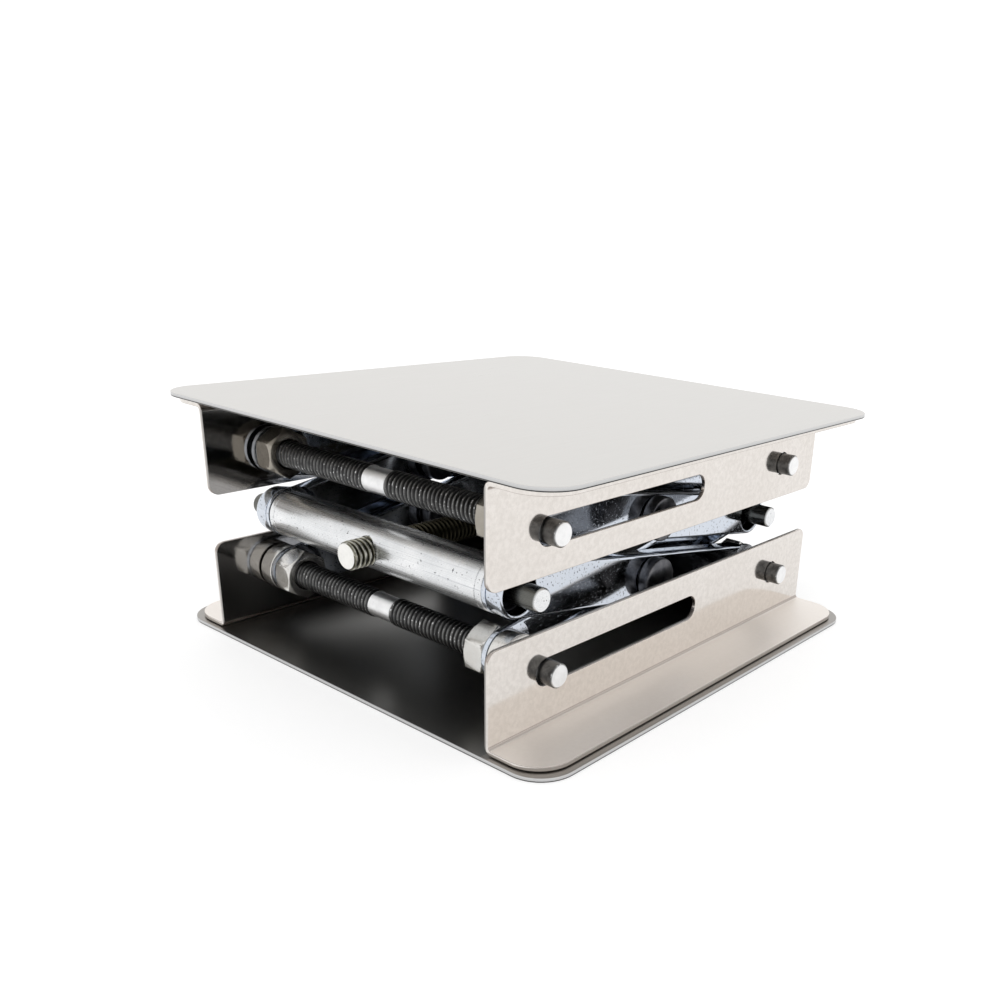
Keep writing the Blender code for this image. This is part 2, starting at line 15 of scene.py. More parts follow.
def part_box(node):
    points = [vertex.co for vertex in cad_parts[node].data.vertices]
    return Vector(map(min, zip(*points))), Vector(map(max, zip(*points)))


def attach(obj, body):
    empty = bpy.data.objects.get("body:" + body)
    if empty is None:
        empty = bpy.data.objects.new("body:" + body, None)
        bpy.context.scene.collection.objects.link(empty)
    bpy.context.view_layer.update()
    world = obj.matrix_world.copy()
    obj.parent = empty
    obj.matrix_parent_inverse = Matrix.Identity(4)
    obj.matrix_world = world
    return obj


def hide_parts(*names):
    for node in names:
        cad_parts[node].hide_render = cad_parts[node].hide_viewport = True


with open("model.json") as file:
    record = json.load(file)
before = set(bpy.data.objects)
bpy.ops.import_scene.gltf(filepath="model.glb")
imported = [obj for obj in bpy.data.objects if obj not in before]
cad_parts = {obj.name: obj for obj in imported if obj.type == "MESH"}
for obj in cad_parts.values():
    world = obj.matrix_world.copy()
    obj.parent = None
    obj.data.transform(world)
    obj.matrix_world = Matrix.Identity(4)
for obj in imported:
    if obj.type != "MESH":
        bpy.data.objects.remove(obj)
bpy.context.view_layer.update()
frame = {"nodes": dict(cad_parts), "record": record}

MM = 0.001

# Sheet metal
PLATE_CORNER = 10 * MM
FLANGE_CORNER = 3 * MM
FOOT_CORNER = 10 * MM
BEND_RADIUS = 2.2 * MM              # outer radius of the bend between flange and foot
SLOT_TRAVEL = 60 * MM
SLOT_RADIUS = 3.65 * MM
HOLE_RADIUS = 3.5 * MM
EDGE_BREAK = 0.16 * MM              # rounding of cut edges

# Arms
ARM_RADIUS = 6.9 * MM
DISH_RADIUS = 5.7 * MM              # round hollows about the rivets and the outer arms' bar pins
FLAT_END_RADIUS = 8.4 * MM          # flat tongues about the other pins
OUTER_TONGUE = 3 * MM               # from an outer arm's web plane out to its tongue
PRESS_RADIUS = 0.9 * MM             # rounding of the raised panels' edges
DISH_LIP = 0.7 * MM                 # rounding where a hollow opens
DISH_FILLET = 0.5 * MM              # and at its floor
RIVET_HOLE = 3.2 * MM

# Threads: 8 mm across, 1.5 mm pitch
PITCH = 1.5 * MM
THREAD_DEPTH = 0.5 * MM
CREST = 0.30                        # shares of the pitch
ROOT_START = 0.50
ROOT_END = 0.80
CREST_MARK = 0.8                    # the "crest" value on a thread's crest; bare steel has 1
PIN_MARK = 0.7                      # and on the sides of pins, which it paints dark as shade
ROWS_PER_TURN = 4

# Turned pieces
PIN_RADIUS = 3.2 * MM
PIN_CHAMFER = 0.45 * MM
BAND_HALF_LENGTH = 4.5 * MM
BAND_DEPTH = 0.35 * MM
CORNER_BREAK = 0.25 * MM
JOURNAL_RADIUS = 3 * MM
RUNNING_GAP = 0.3 * MM
RIVET_RADIUS = 2.9 * MM
RIVET_HEAD = (6.3 * MM, 3.95 * MM)  # radius and height
RIVET_BODY = (5 * MM, 3.8 * MM)
RIVET_TAIL = (4.6 * MM, 1.4 * MM)
RIVET_CROWN = 0.5 * MM              # height of the head's slight dome
RIVET_HEAD_ROUNDING = 0.6 * MM
RIVET_TAIL_ROUNDING = 0.5 * MM
BAR_ROUNDING = 0.5 * MM
BAR_GROOVE = (2.4 * MM, 0.4 * MM, 0.25 * MM)    # from the shoulder, width and depth
GROOVE_WALL = 0.3                   # share of the groove's width that each of its walls takes

# Nuts
NUT_ROUNDING = 0.35 * MM            # of the edges between the flats
NUT_FACE = 0.95                     # radius of the flat end face, as a share of the apothem
NUT_CONE = math.radians(30)         # slope of the chamfer that cuts the corners back
BORE_CHAMFER = 0.5 * MM

# Knob
KNOB_LOBES = 8
KNOB_LOBE_DEPTH = 1.4 * MM
KNOB_ROUNDING = 2.4 * MM
KNOB_RECESS = (12.5 * MM, 1.6 * MM)  # radius and depth of the dish in its outer face
RECESS_LIP = (0.6 * MM, 0.4 * MM)   # width and height of the break round the dish
RECESS_TAPER = 0.8 * MM             # by which the dish is narrower at its floor
BUSH_RADIUS = 7 * MM
BUSH_FLANGE = (9 * MM, 2 * MM)

# Facets
TURN_STEPS = 48
THREAD_STEPS = 32
CORNER_STEPS = 12
SLOT_STEPS = 24
BREAK_STEPS = 3
PRESS_STEPS = 6
HOLLOW_STEPS = 5
DOME_STEPS = 10
BAR_STEPS = 64
NUT_SIDE_STEPS = 6
NUT_CORNER_STEPS = 3
NUT_CONE_STEPS = 6
KNOB_LOBE_STEPS = 16
KNOB_EDGE_STEPS = 6
SHARP_ANGLE = math.radians(32)
BEVEL_ANGLE = math.radians(50)      # only edges sharper than this are rounded
MERGE = 0.002 * MM
OVERRUN = 1 * MM                    # of a cutter beyond the piece
SHORT_EDGE = 2 * MM                 # edges through the sheet are shorter than this

SIDES = (("right", 1), ("left", -1))

# A shape made along local Z is turned to lie along X, or along Y
ALONG_X = Matrix(((0, 0, 1, 0), (1, 0, 0, 0), (0, 1, 0, 0), (0, 0, 0, 1)))
ALONG_Y = Matrix(((0, 1, 0, 0), (0, 0, 1, 0), (1, 0, 0, 0), (0, 0, 0, 1)))


def place(x, y, z):
    return Matrix.Translation((x, y, z))


def size_of(node):
    low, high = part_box(node)
    return high - low


def centre_of(node):
    low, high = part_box(node)
    return (low + high) / 2


# Materials

class Shader:
    """A Principled material and short calls to build its nodes."""

    def __init__(self, name, colour, metallic, roughness):
        self.material = bpy.data.materials.new(name)
        self.material.use_nodes = True
        self.tree = self.material.node_tree
        self.main = self.tree.nodes["Principled BSDF"]
        self.main.inputs["Base Color"].default_value = (*colour, 1)
        self.main.inputs["Metallic"].default_value = metallic
        self.main.inputs["Roughness"].default_value = roughness
        coordinates = self.node("ShaderNodeTexCoord").outputs
        self.place = coordinates["Object"]
        self.facing = coordinates["Normal"]
        self.share = coordinates["Generated"]

    def node(self, kind, **settings):
        made = self.tree.nodes.new(kind)
        for key, value in settings.items():
            setattr(made, key, value)
        return made

    def link(self, output, socket):
        self.tree.links.new(output, socket)

    def stretched(self, scale, turn=(0, 0, 0)):
        """The object's own coordinates, turned and then scaled."""
        mapping = self.node("ShaderNodeMapping", vector_type="POINT")
        mapping.inputs["Rotation"].default_value = turn
        mapping.inputs["Scale"].default_value = scale
        self.link(self.place, mapping.inputs["Vector"])
        return mapping.outputs["Vector"]

    def noise(self, scale, detail, roughness, vector=None):
        made = self.node("ShaderNodeTexNoise")
        made.inputs["Scale"].default_value = scale
        made.inputs["Detail"].default_value = detail
        made.inputs["Roughness"].default_value = roughness
        self.link(vector or self.place, made.inputs["Vector"])
        return made.outputs["Fac"]

    def cells(self, scale):
        made = self.node("ShaderNodeTexVoronoi")
        made.inputs["Scale"].default_value = scale
        self.link(self.place, made.inputs["Vector"])
        return made.outputs["Distance"]

    def ramp(self, value, stops):
        """Colour or grey by value; stops are (position, grey or colour)."""
        made = self.node("ShaderNodeValToRGB")
        elements = made.color_ramp.elements
        while len(elements) < len(stops):
            elements.new(0.5)
        for element, (position, colour) in zip(elements, stops):
            element.position = position
            colour = (colour,) * 3 if isinstance(colour, (int, float)) else colour
            element.color = (*colour, 1)
        self.link(value, made.inputs["Fac"])
        return made.outputs["Color"]

    def scaled(self, value, low, high):
        """value from 0..1 to low..high."""
        made = self.node("ShaderNodeMapRange")
        made.inputs["To Min"].default_value = low
        made.inputs["To Max"].default_value = high
        self.link(value, made.inputs["Value"])
        return made.outputs["Result"]

    def math(self, operation, first, second):
        made = self.node("ShaderNodeMath", operation=operation)
        for socket, value in zip(made.inputs, (first, second)):
            if isinstance(value, (int, float)):
                socket.default_value = value
            else:
                self.link(value, socket)
        return made.outputs["Value"]

    def mix(self, factor, first, second):
        """first at factor 0, second at factor 1; each is an output or a plain value."""
        made = self.node("ShaderNodeMix", data_type="RGBA")
        sockets = (made.inputs[0], made.inputs[6], made.inputs[7])
        for socket, value in zip(sockets, (factor, first, second)):
            if isinstance(value, (int, float)):
                socket.default_value = value
            elif isinstance(value, tuple):
                socket.default_value = (*value, 1)
            else:
                self.link(value, socket)
        return made.outputs[2]

    def levelness(self):
        """0 on faces that stand upright in the object, 1 on level ones."""
        parts = self.node("ShaderNodeSeparateXYZ")
        self.link(self.facing, parts.inputs["Vector"])
        return self.math("ABSOLUTE", parts.outputs["Z"], 0)

    def edge_mask(self):
        """1 on faces that stand upright in the object, 0 on level ones."""
        return self.ramp(self.levelness(), ((0.35, 1.0), (0.6, 0.0)))

    def upward(self):
        """Height within the object, from 0 at its lowest point to 1 at its highest."""
        parts = self.node("ShaderNodeSeparateXYZ")
        self.link(self.share, parts.inputs["Vector"])
        return parts.outputs["Z"]

    def within(self, half_width):
        """1 where |x| in the object is less than half_width."""
        parts = self.node("ShaderNodeSeparateXYZ")
        self.link(self.place, parts.inputs["Vector"])
        return self.math("LESS_THAN", self.math("ABSOLUTE", parts.outputs["X"], 0), half_width)

    def attribute(self, name):
        return self.node("ShaderNodeAttribute", attribute_name=name).outputs["Fac"]

    def set(self, socket, output):
        self.link(output, self.main.inputs[socket])

    def bump(self, height, strength, distance, normal=None):
        made = self.node("ShaderNodeBump")
        made.inputs["Strength"].default_value = strength
        made.inputs["Distance"].default_value = distance
        self.link(height, made.inputs["Height"])
        if normal:
            self.link(normal, made.inputs["Normal"])
        self.link(made.outputs["Normal"], self.main.inputs["Normal"])
        return made.outputs["Normal"]


def satin_plate(name, shade, painted_shade_half_width):
    """Stainless sheet with a fine satin finish, slightly warm.

    A shade below 1 paints shade into it, darker and warmer. Within the given half width of the middle it
    is painted darker still, as shade between the brackets.
    """
    s = Shader(name, (0.66, 0.645, 0.62), 1, 0.3)
    cloud = s.noise(16, 4, 0.6)
    grain = s.noise(1, 4, 0.7, s.stretched((2600, 60, 60)))
    tint = s.mix(cloud, (0.64, 0.626, 0.602), (0.71, 0.694, 0.668))
    face = s.mix(s.scaled(grain, 0, 0.16), tint, (0.52, 0.508, 0.49))
    # Painted shade: a shade below 1 mixes in a dark warm brown.
    face = s.mix(1 - shade, face, (0.10, 0.08, 0.065))
    # Painted shade: between the brackets the face is painted darker.
    face = s.mix(s.within(painted_shade_half_width), face, (0.24, 0.236, 0.228))
    # Painted shade: upright edges are near black low down and lighter towards the top.
    edge = s.ramp(s.upward(), ((0.0, 0.03), (0.24, 0.04), (0.34, 0.5), (1.0, 0.62)))
    s.set("Base Color", s.mix(s.edge_mask(), face, edge))
    finish = s.math("ADD", s.math("MULTIPLY", grain, 0.5), s.math("MULTIPLY", cloud, 0.5))
    s.set("Roughness", s.scaled(finish, 0.20, 0.42))
    s.bump(grain, 0.12, 0.02 * MM)
    return s.material


def rolled_bracket(painted_shade_half_width):
    """Glossier stainless sheet with faint haze and blotches, paler and duller on its level feet.

    Its inner faces, which lie within the given half width of the middle, are painted darker as shade
    inside the jack, and its bends are painted brown as shade in the creases.
    """
    s = Shader("bracket_steel", (0.76, 0.72, 0.68), 1, 0.16)
    haze = s.noise(38, 5, 0.62)
    rolling = s.noise(1, 3, 0.6, s.stretched((40, 12, 420)))
    specks = s.ramp(s.cells(900), ((0.0, 1.0), (0.10, 0.0)))
    mottle = s.noise(700, 4, 0.7)
    tint = s.mix(haze, (0.70, 0.655, 0.615), (0.80, 0.765, 0.73))
    tint = s.mix(s.ramp(mottle, ((0.40, 0.35), (0.62, 0.0))), tint, (0.56, 0.52, 0.48))
    tint = s.mix(s.math("MULTIPLY", specks, 0.3), tint, (0.40, 0.36, 0.33))
    feet = s.mix(0.75, tint, (0.97, 0.925, 0.88))
    # Painted shade: the inner faces near the middle are painted darker.
    tint = s.mix(s.within(painted_shade_half_width), s.mix(s.edge_mask(), feet, tint), (0.36, 0.345, 0.33))
    # Painted shade: faces between upright and level, along the bends, are painted brown.
    bend = s.ramp(s.levelness(), ((0.05, 0.0), (0.30, 0.7), (0.80, 0.7), (0.97, 0.0)))
    tint = s.mix(bend, tint, (0.30, 0.25, 0.22))
    s.set("Base Color", tint)
    finish = s.math("ADD", s.math("MULTIPLY", haze, 0.7), s.math("MULTIPLY", rolling, 0.3))
    s.set("Roughness", s.mix(s.edge_mask(), s.scaled(haze, 0.46, 0.60), s.scaled(finish, 0.04, 0.16)))
    s.bump(rolling, 0.05, 0.03 * MM)
    return s.material


def plated_arm(name, tilt):
    """Bright plated pressing: mirror-like, with fine pits and drawing marks along the arm."""
    s = Shader(name, (0.66, 0.69, 0.74), 1, 0.12)
    lengthwise = s.stretched((1, 0.06, 1), (-tilt, 0, 0))
    drawn = s.noise(900, 4, 0.6, lengthwise)
    pits = s.ramp(s.noise(1500, 2, 0.5), ((0.30, 1.0), (0.38, 0.0)))
    cloud = s.noise(60, 3, 0.5)
    tint = s.mix(cloud, (0.56, 0.61, 0.69), (0.66, 0.69, 0.74))
    plated = s.mix(s.math("MULTIPLY", pits, 0.8), tint, (0.08, 0.09, 0.11))
    # Painted shade: the marked dish points are painted near black.
    s.set("Base Color", s.mix(s.attribute("dish_shade"), plated, (0.012, 0.012, 0.014)))
    finish = s.math("ADD", s.math("MULTIPLY", drawn, 0.6), s.math("MULTIPLY", cloud, 0.4))
    s.set("Roughness", s.scaled(finish, 0.03, 0.16))
    normal = s.bump(drawn, 0.08, 0.02 * MM)
    s.bump(pits, 0.35, -0.05 * MM, normal)
    return s.material


def zinc_bar():
    """Bright zinc-plated bar stock: scratches along its length, small dark specks."""
    s = Shader("bar_steel", (0.72, 0.73, 0.74), 1, 0.22)
    scratches = s.noise(1, 5, 0.7, s.stretched((28, 1900, 1900)))
    specks = s.ramp(s.noise(1300, 2, 0.5), ((0.27, 1.0), (0.33, 0.0)))
    stain = s.ramp(s.noise(90, 4, 0.65), ((0.35, 0.0), (0.75, 1.0)))
    tint = s.mix(stain, (0.83, 0.835, 0.84), (0.68, 0.695, 0.71))
    tint = s.mix(s.ramp(scratches, ((0.28, 0.55), (0.45, 0.0))), tint, (0.36, 0.37, 0.40))
    tint = s.mix(specks, tint, (0.06, 0.06, 0.07))
    # Painted shade: the marked pin sides are painted dark olive.
    s.set("Base Color", s.mix(s.attribute("pin_shade"), tint, (0.13, 0.13, 0.12)))
    s.set("Roughness", s.scaled(scratches, 0.14, 0.40))
    s.bump(scratches, 0.25, 0.02 * MM)
    return s.material


def thread_steel(name, root, flank, crest, bare, painted_shade_from=None):
    """Threaded steel: dark roots, lighter crests with painted glints; turned bands and ends are bare and
    bright.

    Beyond the y given as its last argument the whole rod is painted dark, as shade inside the jack. The
    "crest" attribute is the height up the thread.
    """
    s = Shader(name, flank, 1, 0.3)
    height = s.attribute("crest")
    grime = s.noise(420, 4, 0.6)
    tint = s.ramp(height, ((0.0, root), (0.4, flank), (CREST_MARK - 0.05, crest),
                           (CREST_MARK, crest), (1.0, bare)))
    film = s.ramp(grime, ((0.42, 0.0), (0.66, 0.85)))
    threaded = s.ramp(height, ((0.85, 1.0), (1.0, 0.1)))
    tint = s.mix(s.math("MULTIPLY", film, threaded), tint, root)
    # Painted glints: bright specks on the crests.
    glints = s.ramp(s.noise(1500, 2, 0.5), ((0.60, 0.0), (0.68, 0.7)))
    crests = s.ramp(height, ((PIN_MARK + 0.01, 0.0), (CREST_MARK - 0.03, 1.0),
                             (CREST_MARK + 0.03, 1.0), (0.95, 0.0)))
    tint = s.mix(s.math("MULTIPLY", glints, crests), tint, bare)
    # Painted shade: beyond this y, inside the jack, the rod is painted the root colour.
    if painted_shade_from is not None:
        parts = s.node("ShaderNodeSeparateXYZ")
        s.link(s.place, parts.inputs["Vector"])
        tint = s.mix(s.math("GREATER_THAN", parts.outputs["Y"], painted_shade_from), tint, root)
    s.set("Base Color", tint)
    s.set("Roughness", s.scaled(grime, 0.20, 0.46))
    s.bump(s.noise(2400, 3, 0.6), 0.25, 0.02 * MM)
    return s.material


def zinc_fastener(name, pale, dull):
    """Zinc-plated nuts, spacers and collars, slightly warm, with dull patches."""
    s = Shader(name, pale, 1, 0.26)
    patches = s.noise(260, 4, 0.62)
    fine = s.noise(2200, 3, 0.6)
    tint = s.mix(patches, dull, pale)
    s.set("Base Color", s.mix(s.ramp(fine, ((0.30, 0.5), (0.42, 0.0))), tint, (0.30, 0.28, 0.25)))
    s.set("Roughness", s.scaled(patches, 0.12, 0.34))
    s.bump(fine, 0.2, 0.02 * MM)
    return s.material


def dark_rivet():
    """Rivets and studs painted dark as shade, rubbed a little brighter in places."""
    s = Shader("rivet_steel", (0.10, 0.10, 0.11), 1, 0.3)
    rubbed = s.noise(300, 4, 0.6)
    s.set("Base Color", s.ramp(rubbed, ((0.35, (0.06, 0.062, 0.07)), (0.7, (0.19, 0.19, 0.20)))))
    s.set("Roughness", s.scaled(rubbed, 0.22, 0.45))
    s.bump(s.noise(1800, 3, 0.6), 0.2, 0.02 * MM)
    return s.material


def moulded_plastic():
    """Black moulded plastic with a fine matt grain."""
    s = Shader("knob_plastic", (0.018, 0.018, 0.019), 0, 0.42)
    grain = s.noise(2600, 3, 0.6)
    wear = s.noise(120, 3, 0.5)
    s.set("Base Color", s.mix(wear, (0.014, 0.014, 0.015), (0.026, 0.026, 0.028)))
    s.set("Roughness", s.scaled(wear, 0.34, 0.52))
    s.bump(grain, 0.35, 0.04 * MM)
    return s.material


# Meshes

def piece(name, mesh, material, node, edge=0):
    """Add a finished piece that stands for one CAD node and rides on that node's body."""
    made = bpy.data.objects.new(name, mesh)
    bpy.context.scene.collection.objects.link(made)
    mesh.materials.clear()
    mesh.materials.append(material)
    if edge:
        bevel = made.modifiers.new("edges", "BEVEL")
        bevel.width = edge
        bevel.segments = 2
        bevel.limit_method = "ANGLE"
        bevel.angle_limit = BEVEL_ANGLE
        bevel.harden_normals = True
    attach(made, body_of_node(node))
    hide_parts(node)


def body_of_node(node):
    for body, members in frame["record"]["behaviour"]["bodies"].items():
        if node in members:
            return body
    raise KeyError(node)


def shaded(mesh):
    mesh.shade_smooth()
    mesh.set_sharp_from_angle(angle=SHARP_ANGLE)
    return mesh


def cleaned(work, name):
    """Mesh from a bmesh, with doubled points merged and faces pointing out."""
    bmesh.ops.remove_doubles(work, verts=work.verts, dist=MERGE)
    bmesh.ops.recalc_face_normals(work, faces=work.faces)
    mesh = bpy.data.meshes.new(name)
    work.to_mesh(mesh)
    work.free()
    return mesh


def lofted(name, rows, threads=(), closed=False):
    """Surface through rows of points about local Z.

    A thread is a (first row, last row) pair whose rows are helices: there the seam climbs by one
    turn. closed joins the last row to the first; otherwise both ends get a cap.
    """
    work = bmesh.new()
    points = [[work.verts.new(point) for point in row] for row in rows]
    count = len(rows[0])
    pairs = list(zip(range(len(rows) - 1), range(1, len(rows))))
    if closed:
        pairs.append((len(rows) - 1, 0))
    for low, high in pairs:
        thread = next((t for t in threads if t[0] <= low and high <= t[1]), None)
        for j in range(count):
            if j < count - 1:
                corners = (points[low][j], points[low][j + 1], points[high][j + 1], points[high][j])
            elif not thread:
                corners = (points[low][j], points[low][0], points[high][0], points[high][j])
            elif high + ROWS_PER_TURN <= thread[1]:
                corners = (points[low][j], points[low + ROWS_PER_TURN][0],
                           points[high + ROWS_PER_TURN][0], points[high][j])
            else:
                continue
            work.faces.new(corners)
    if not closed:
        work.faces.new(reversed(points[0]))
        work.faces.new(points[-1])
    return shaded(cleaned(work, name))


def circle(radius, z, steps=TURN_STEPS):
    angles = [2 * math.pi * j / steps for j in range(steps)]
    return [(radius * math.cos(a), radius * math.sin(a), z) for a in angles]


def turned(name, profile, steps=TURN_STEPS, closed=False):
    """Shape turned about local Z, from its (radius, z) points."""
    return lofted(name, [circle(radius, z, steps) for radius, z in profile], closed=closed)


def rounded_end(radius, z, inward, cut, steps=BREAK_STEPS):
    """Arc of a turned corner at (radius, z), from its end face outwards; inward is +1 or -1 along z.

    With a negative cut the arc flares out instead.
    """
    points = []
    for i in range(steps + 1):
        angle = math.pi / 2 * i / steps
        points.append((radius - cut * (1 - math.sin(angle)),
                       z + inward * abs(cut) * (1 - math.cos(angle))))
    return points


def ring_mesh(name, outer, inner, length, cut):
    """Ring about local Z from z = 0 to z = length, with rounded edges."""
    profile = rounded_end(outer, 0, 1, cut) + rounded_end(outer, length, -1, cut)[::-1]
    bore = [(inner + cut / 2, length), (inner, length - cut / 2), (inner, cut / 2), (inner + cut / 2, 0)]
    return turned(name, profile + bore, closed=True)


def thread_radius(radius, turns):
    """Radius of the thread where it has climbed by this many turns."""
    share = turns % 1
    if share <= CREST:
        return radius
    if share < ROOT_START:
        return radius - THREAD_DEPTH * (share - CREST) / (ROOT_START - CREST)
    if share <= ROOT_END:
        return radius - THREAD_DEPTH
    return radius - THREAD_DEPTH * (1 - share) / (1 - ROOT_END)


def thread_rows(radius, start, end, lead_in=0.0):
    """Helical rows of a right-handed thread; lead_in is the chamfer at its start."""
    turns = math.ceil((end - start) / PITCH) + 2
    rows = []
    for turn in range(turns):
        for share in (0, CREST, ROOT_START, ROOT_END):
            row = []
            for j in range(THREAD_STEPS):
                around = j / THREAD_STEPS
                z = start + (turn - 1 + share + around) * PITCH
                z = min(max(z, start), end)
                r = thread_radius(radius, (z - start) / PITCH - around)
                r = min(r, radius - lead_in + (z - start))
                row.append((r * math.cos(2 * math.pi * around), r * math.sin(2 * math.pi * around), z))
            rows.append(row)
    return rows


def mark_crests(mesh, radius):
    """Stores how far each point is up the thread: 0 in the root, 1 on the crest."""
    layer = mesh.attributes.new("crest", "FLOAT", "POINT")
    for point, value in zip(mesh.vertices, layer.data):
        height = (math.hypot(point.co.x, point.co.y) - radius) / THREAD_DEPTH + 1
        value.value = CREST_MARK * min(max(height, 0), 1)


def plain_rows(points):
    return [circle(radius, z, THREAD_STEPS) for radius, z in points]


def axle_mesh(half_length, shoulder, rod_radius):
    """Axle about local Z: pin, thread, plain band, thread, pin."""
    pin_in = [(PIN_RADIUS - PIN_CHAMFER, -half_length), (PIN_RADIUS, -half_length + PIN_CHAMFER),
              (PIN_RADIUS, -shoulder)]
    band_radius = rod_radius - BAND_DEPTH
    band = [(band_radius, -BAND_HALF_LENGTH), (band_radius, BAND_HALF_LENGTH)]
    pin_out = [(radius, -z) for radius, z in reversed(pin_in)]
    rows = plain_rows(pin_in)
    threads = []
    for start, end, after in ((-shoulder, -BAND_HALF_LENGTH, band), (BAND_HALF_LENGTH, shoulder, pin_out)):
        first = len(rows)
        rows += thread_rows(rod_radius, start, end)
        threads.append((first, len(rows) - 1))
        rows += plain_rows(after)
    mesh = lofted("axle", rows, threads)
    mark_crests(mesh, rod_radius)
    # Bands and ends get 1; pin sides get PIN_MARK, which the material paints dark as shade.
    for point, value in zip(mesh.vertices, mesh.attributes["crest"].data):
        if abs(point.co.z) < BAND_HALF_LENGTH + MERGE or abs(point.co.z) > half_length - MERGE:
            value.value = 1
        elif abs(point.co.z) > shoulder - MERGE:
            value.value = PIN_MARK
    return mesh


def screw_mesh(front, thread_end, end, radius):
    """Drive screw about local Z: thread from its free end, then the plain journal."""
    rows = thread_rows(radius, front, thread_end, lead_in=THREAD_DEPTH)
    threads = [(0, len(rows) - 1)]
    rows += plain_rows([(JOURNAL_RADIUS, thread_end), (JOURNAL_RADIUS, end - PIN_CHAMFER),
                        (JOURNAL_RADIUS - PIN_CHAMFER, end)])
    mesh = lofted("drive_screw", rows, threads)
    mark_crests(mesh, radius)
    for point, value in zip(mesh.vertices, mesh.attributes["crest"].data):
        if point.co.z > thread_end - MERGE or point.co.z < front + MERGE:
            value.value = 1
    return mesh


def nut_outline(apothem):
    """Hexagon with rounded corners."""
    half_angle = math.radians(30)
    half_side = apothem * math.tan(half_angle) - NUT_ROUNDING * math.tan(half_angle)
    centre_radius = (apothem - NUT_ROUNDING) / math.cos(half_angle)
    outline = []
    for side in range(6):
        middle = math.radians(60 * side)
        for i in range(NUT_SIDE_STEPS + 1):
            along = half_side * (2 * i / NUT_SIDE_STEPS - 1)
            outline.append((apothem * math.cos(middle) - along * math.sin(middle),
                            apothem * math.sin(middle) + along * math.cos(middle)))
        corner = middle + half_angle
        for i in range(1, NUT_CORNER_STEPS):
            angle = middle + 2 * half_angle * i / NUT_CORNER_STEPS
            outline.append((centre_radius * math.cos(corner) + NUT_ROUNDING * math.cos(angle),
                            centre_radius * math.sin(corner) + NUT_ROUNDING * math.sin(angle)))
    return outline


def nut_mesh(name, across_flats, bore, length):
    """Hex nut about local Z, its corners cut back by cones at both ends."""
    apothem = across_flats / 2
    outline = nut_outline(apothem)
    slope = math.tan(NUT_CONE)
    face_radius = apothem * NUT_FACE
    cone_depth = (apothem / math.cos(math.radians(30)) - face_radius) * slope
    depths = [cone_depth * i / NUT_CONE_STEPS for i in range(NUT_CONE_STEPS + 1)]
    levels = [(face_radius + depth / slope, depth) for depth in depths]
    rows = []
    for limit, z in levels + [(limit, length - z) for limit, z in reversed(levels)]:
        row = []
        for x, y in outline:
            share = min(1, limit / math.hypot(x, y))
            row.append((x * share, y * share, z))
        rows.append(row)
    angles = [math.atan2(y, x) for x, y in outline]
    wide = bore + BORE_CHAMFER
    for radius, z in ((wide, length), (bore, length - BORE_CHAMFER), (bore, BORE_CHAMFER), (wide, 0)):
        rows.append([(radius * math.cos(a), radius * math.sin(a), z) for a in angles])
    return lofted(name, rows, closed=True)


def rivet_mesh(length):
    """Pivot stud about local Z: flat tail at z = 0, shank, body and slightly domed head."""
    head_radius, head_height = RIVET_HEAD
    body_radius, body_height = RIVET_BODY
    tail_radius, tail_height = RIVET_TAIL
    head_low = length - head_height
    seat = head_low - body_height
    profile = rounded_end(tail_radius, 0, 1, RIVET_TAIL_ROUNDING)
    profile += [(tail_radius, tail_height), (RIVET_RADIUS, tail_height), (RIVET_RADIUS, seat),
                (body_radius, seat), (body_radius, head_low)]
    profile += rounded_end(head_radius, head_low, 1, CORNER_BREAK)
    profile += rounded_end(head_radius, length - RIVET_CROWN, -1, RIVET_HEAD_ROUNDING)[::-1]
    for i in range(1, DOME_STEPS):
        share = 1 - i / DOME_STEPS
        profile.append(((head_radius - RIVET_HEAD_ROUNDING) * share, length - RIVET_CROWN * share * share))
    return turned("rivet", profile)


def bar_mesh(name, half_length, shoulder, radius):
    """Cross bar about local Z with rounded shoulders, a fine groove near each, and pin ends."""
    offset, width, depth = BAR_GROOVE
    groove = shoulder - offset
    half = [(PIN_RADIUS - PIN_CHAMFER, -half_length), (PIN_RADIUS, -half_length + PIN_CHAMFER),
            (PIN_RADIUS, -shoulder)] + rounded_end(radius, -shoulder, 1, BAR_ROUNDING)
    half += [(radius, -groove - width), (radius - depth, -groove - width * (1 - GROOVE_WALL)),
             (radius - depth, -groove - width * GROOVE_WALL), (radius, -groove)]
    return turned(name, half + [(r, -z) for r, z in reversed(half)], steps=BAR_STEPS)


def knob_mesh(radius, length, bore):
    """Lobed grip about local Z with rounded edges and a dished outer face."""
    steps = KNOB_LOBES * KNOB_LOBE_STEPS
    recess_radius, recess_depth = KNOB_RECESS
    lip_width, lip_height = RECESS_LIP
    profile = rounded_end(radius, 0, 1, KNOB_ROUNDING, KNOB_EDGE_STEPS)
    profile += rounded_end(radius, length, -1, KNOB_ROUNDING, KNOB_EDGE_STEPS)[::-1]
    rows = []
    for r, z in profile:
        row = []
        for j in range(steps):
            angle = 2 * math.pi * j / steps
            lobed = r - KNOB_LOBE_DEPTH * (1 - math.cos(KNOB_LOBES * angle)) / 2
            row.append((lobed * math.cos(angle), lobed * math.sin(angle), z))
        rows.append(row)
    floor = length - recess_depth
    for r, z in ((recess_radius + lip_width, length), (recess_radius, length - lip_height),
                 (recess_radius - RECESS_TAPER, floor), (bore, floor), (bore, 0)):
        rows.append(circle(r, z, steps))
    return lofted("knob", rows, closed=True)


def arc(centre_x, centre_y, radius, start, end, steps):
    """Points on an arc from start to end, in degrees, both ends included."""
    angles = [math.radians(start + (end - start) * i / steps) for i in range(steps + 1)]
    return [(centre_x + radius * math.cos(a), centre_y + radius * math.sin(a)) for a in angles]


